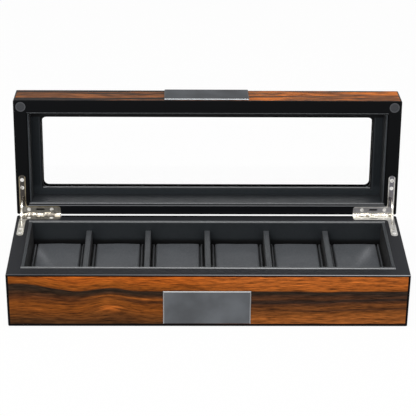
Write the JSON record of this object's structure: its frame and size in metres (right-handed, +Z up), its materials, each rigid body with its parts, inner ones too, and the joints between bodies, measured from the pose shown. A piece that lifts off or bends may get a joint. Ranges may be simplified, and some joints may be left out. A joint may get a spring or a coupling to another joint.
{
  "type": "watch box",
  "caption": "Long wooden watch box with veneered sides, leatherette compartments with lift-out cushions, and a hinged glass lid on corner stay hinges, held shut by magnets.",
  "frame": {"origin": "middle of the underside of the base, on the surface that the box stands on", "axes": "+X along the width, to the right seen from the front; +Y from the front to the hinges; +Z up"},
  "size_m": [0.34, 0.1497, 0.1586],
  "materials": {
    "lacquer": "satin black lacquer",
    "veneer": "gloss lacquer over striped dark veneer",
    "board": "painted board",
    "felt": "felt",
    "leatherette": "satin leatherette",
    "cushion_leatherette": "satin leatherette",
    "glass": "clear",
    "plate_metal": "satin",
    "hinge_metal": "polished nickel",
    "magnet_steel": "satin"
  },
  "bodies": {
    "base": {"base_front_wall": "lacquer", "base_right_wall": "lacquer", "base_rear_wall": "lacquer", "base_left_wall": "lacquer", "base_veneer_front": "veneer", "base_veneer_right": "veneer", "base_veneer_rear": "veneer", "base_veneer_left": "veneer", "base_bottom_board": "board", "base_felt_pad": "felt", "liner_front": "leatherette", "liner_right": "leatherette", "liner_rear": "leatherette", "liner_left": "leatherette", "tray_floor": "leatherette", "divider_1": "leatherette", "divider_2": "leatherette", "divider_3": "leatherette", "divider_4": "leatherette", "divider_5": "leatherette", "base_plate": "plate_metal", "base_hinge_leaf_right": "hinge_metal", "base_hinge_leaf_left": "hinge_metal", "hinge_pin_right": "hinge_metal", "hinge_pin_left": "hinge_metal", "base_hinge_screws": "hinge_metal", "base_steel_discs": "magnet_steel"},
    "lid": {"lid_front_rail": "lacquer", "lid_right_rail": "lacquer", "lid_rear_rail": "lacquer", "lid_left_rail": "lacquer", "lid_veneer_front": "veneer", "lid_veneer_right": "veneer", "lid_veneer_rear": "veneer", "lid_veneer_left": "veneer", "lid_liner_front": "leatherette", "lid_liner_right": "leatherette", "lid_liner_rear": "leatherette", "lid_liner_left": "leatherette", "lid_veneer_top": "veneer", "lid_top_frame": "lacquer", "glass_pane": "glass", "lid_inner_panel": "leatherette", "lid_plate": "plate_metal", "lid_magnet_cups": "magnet_steel", "lid_magnets": "magnet_steel", "lid_hinge_screws": "hinge_metal", "lid_hinge_leaf_right": "hinge_metal", "lid_hinge_leaf_left": "hinge_metal"},
    "stay_right": {"hinge_stay_right": "hinge_metal"},
    "stay_left": {"hinge_stay_left": "hinge_metal"},
    "cushion_1": {"cushion_1": "cushion_leatherette"},
    "cushion_2": {"cushion_2": "cushion_leatherette"},
    "cushion_3": {"cushion_3": "cushion_leatherette"},
    "cushion_4": {"cushion_4": "cushion_leatherette"},
    "cushion_5": {"cushion_5": "cushion_leatherette"},
    "cushion_6": {"cushion_6": "cushion_leatherette"}
  },
  "joints": [
    {"name": "lid_hinge", "type": "hinge", "parent": "base", "child": "lid", "pos_m": [0, 0.0541, 0.0507], "axis": [-1, 0, 0], "range_deg": [-96, 0]},
    {"name": "stay_right_slide", "type": "hinge", "parent": "base", "child": "stay_right", "pos_m": [0, 0.0541, 0.0507], "axis": [-1, 0, 0], "range_deg": [-48, 0]},
    {"name": "stay_left_slide", "type": "hinge", "parent": "base", "child": "stay_left", "pos_m": [0, 0.0541, 0.0507], "axis": [-1, 0, 0], "range_deg": [-48, 0]},
    {"name": "cushion_1_lift", "type": "slide", "parent": "base", "child": "cushion_1", "axis": [0, 0, 1], "range_m": [0, 0.06]},
    {"name": "cushion_2_lift", "type": "slide", "parent": "base", "child": "cushion_2", "axis": [0, 0, 1], "range_m": [0, 0.06]},
    {"name": "cushion_3_lift", "type": "slide", "parent": "base", "child": "cushion_3", "axis": [0, 0, 1], "range_m": [0, 0.06]},
    {"name": "cushion_4_lift", "type": "slide", "parent": "base", "child": "cushion_4", "axis": [0, 0, 1], "range_m": [0, 0.06]},
    {"name": "cushion_5_lift", "type": "slide", "parent": "base", "child": "cushion_5", "axis": [0, 0, 1], "range_m": [0, 0.06]},
    {"name": "cushion_6_lift", "type": "slide", "parent": "base", "child": "cushion_6", "axis": [0, 0, 1], "range_m": [0, 0.06]}
  ],
  "couplings": [
    {"joint": "stay_right_slide", "follows": "lid_hinge", "ratio": 0.5},
    {"joint": "stay_left_slide", "follows": "lid_hinge", "ratio": 0.5}
  ]
}
